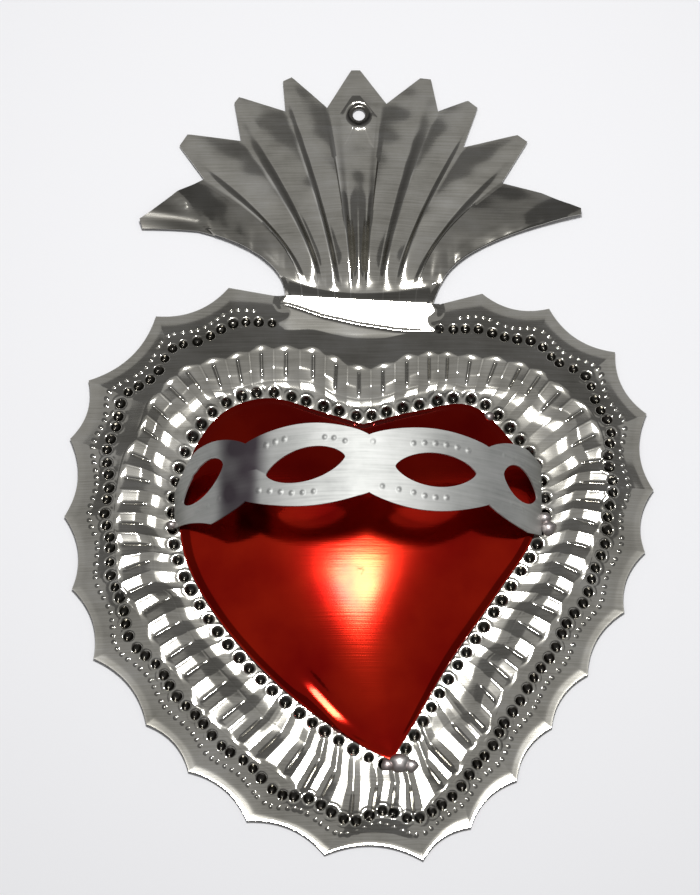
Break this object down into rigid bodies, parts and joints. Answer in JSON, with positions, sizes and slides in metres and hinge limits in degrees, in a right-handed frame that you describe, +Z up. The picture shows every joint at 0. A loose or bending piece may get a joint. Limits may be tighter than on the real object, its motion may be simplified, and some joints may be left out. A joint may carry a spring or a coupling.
{
  "type": "hojalata tin ornament",
  "caption": "Embossed tin flaming-heart wall ornament: scalloped, fluted heart plate with a petal flame crown, a red domed heart on it and a pierced band bridging the dome.",
  "frame": {"origin": "centre of the hanging hole, on the wall plane that the back of the plate lies in", "axes": "+X to the viewer's right, +Z up, front faces -Y and the wall is on the +Y side"},
  "size_m": [0.15, 0.0285, 0.214],
  "materials": {
    "embossed_tin": "bright rolled tinplate, worn, with fine horizontal rolling marks",
    "red_lacquered_tin": "glossy translucent red lacquer over brushed tinplate",
    "plain_band_tin": "dull satin tinplate with heat tint and stains",
    "solder": "smooth, shiny set solder"
  },
  "bodies": {
    "root": {"back_plate": "embossed_tin", "red_heart": "red_lacquered_tin", "crown_band": "plain_band_tin", "solder_band_left": "solder", "solder_band_right": "solder", "solder_heart_tip": "solder", "solder_heart_right_lobe": "solder"}
  },
  "joints": []
}
